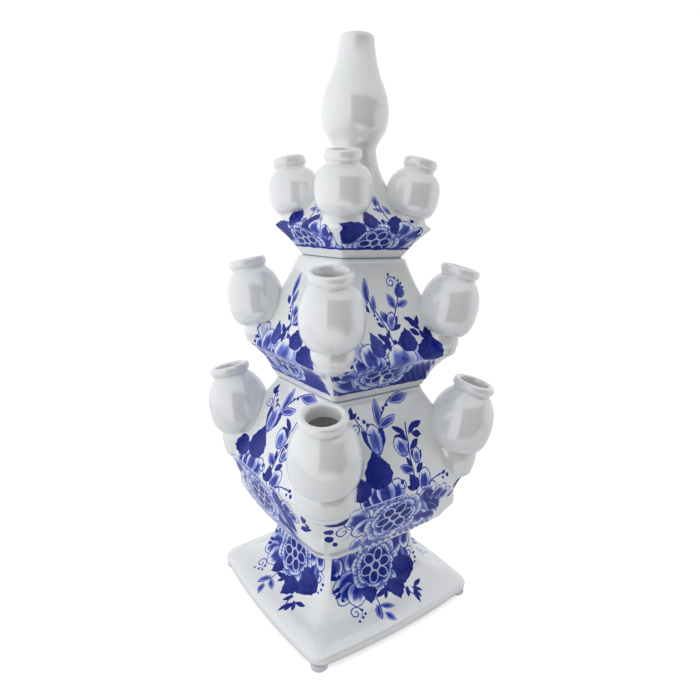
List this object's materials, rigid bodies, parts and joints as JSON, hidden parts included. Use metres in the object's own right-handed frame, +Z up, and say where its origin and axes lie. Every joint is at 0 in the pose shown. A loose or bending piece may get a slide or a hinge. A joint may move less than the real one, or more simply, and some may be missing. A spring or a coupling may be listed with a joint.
{
  "type": "tulipiere",
  "caption": "Square tiered flower tower in blue-and-white glazed earthenware: flared pedestal, stacked water tiers with corner spouts for single stems, bottle-shaped finial.",
  "frame": {"origin": "on the table, under the tower's axis", "axes": "+Z up along the stack, faces square to X and Y, front towards -Y"},
  "size_m": [0.1594, 0.1594, 0.39],
  "materials": {
    "painted_glaze": "clear gloss glaze over blue painting on white",
    "white_glaze": "clear gloss glaze on white",
    "pads": "frosted clear"
  },
  "bodies": {
    "pedestal_body": {"pedestal": "painted_glaze", "foot_pad_front_right": "pads", "foot_pad_back_right": "pads", "foot_pad_back_left": "pads", "foot_pad_front_left": "pads"},
    "lower_body": {"lower_tier": "painted_glaze", "lower_spout_front_right": "white_glaze", "lower_spout_back_right": "white_glaze", "lower_spout_back_left": "white_glaze", "lower_spout_front_left": "white_glaze"},
    "middle_body": {"middle_tier": "painted_glaze", "middle_spout_front_right": "white_glaze", "middle_spout_back_right": "white_glaze", "middle_spout_back_left": "white_glaze", "middle_spout_front_left": "white_glaze"},
    "top_body": {"top_tier": "painted_glaze", "top_spout_front_right": "white_glaze", "top_spout_back_right": "white_glaze", "top_spout_back_left": "white_glaze", "top_spout_front_left": "white_glaze", "finial": "white_glaze"}
  },
  "joints": [
    {"name": "lower_tier_lift", "type": "slide", "parent": "pedestal_body", "child": "lower_body", "axis": [0, 0, 1], "range_m": [0, 0.06]},
    {"name": "middle_tier_lift", "type": "slide", "parent": "lower_body", "child": "middle_body", "axis": [0, 0, 1], "range_m": [0, 0.06]},
    {"name": "top_tier_lift", "type": "slide", "parent": "middle_body", "child": "top_body", "axis": [0, 0, 1], "range_m": [0, 0.06]}
  ]
}
